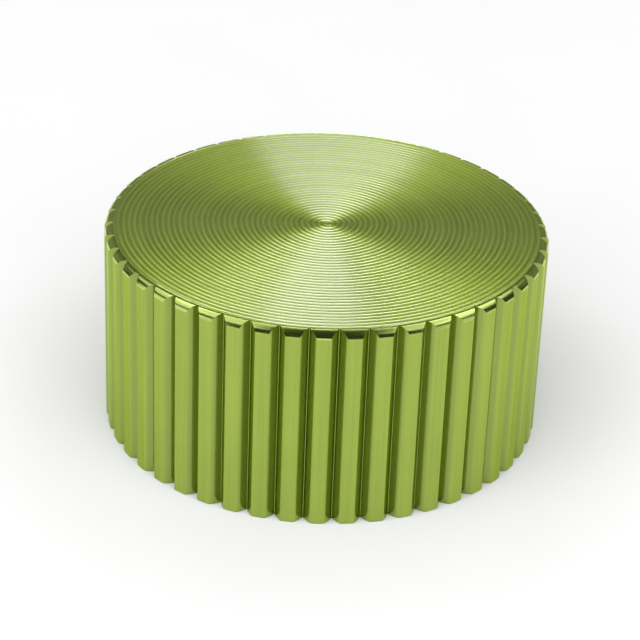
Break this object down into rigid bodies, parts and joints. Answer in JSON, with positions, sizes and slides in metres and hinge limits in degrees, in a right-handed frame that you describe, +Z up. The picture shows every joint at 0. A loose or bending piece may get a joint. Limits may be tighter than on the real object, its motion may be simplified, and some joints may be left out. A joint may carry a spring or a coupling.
{
  "type": "rotary knob",
  "caption": "Squat round control knob turned from green anodised aluminium, with a fluted side, rounded rim and ring-turned top face, clamped to a round shaft by a grub screw.",
  "frame": {"origin": "on the turning axis, in the face that the knob stands on", "axes": "+Z up along the turning axis, out of the top face; -Y towards the user; the grub screw enters from +Y"},
  "size_m": [0.04, 0.04, 0.019],
  "materials": {
    "anodised_aluminium": "turned and anodised yellow-green, satin",
    "screw_steel": "black oxide"
  },
  "bodies": {
    "root": {"knob_body": "anodised_aluminium", "grub_screw": "screw_steel"}
  },
  "joints": []
}
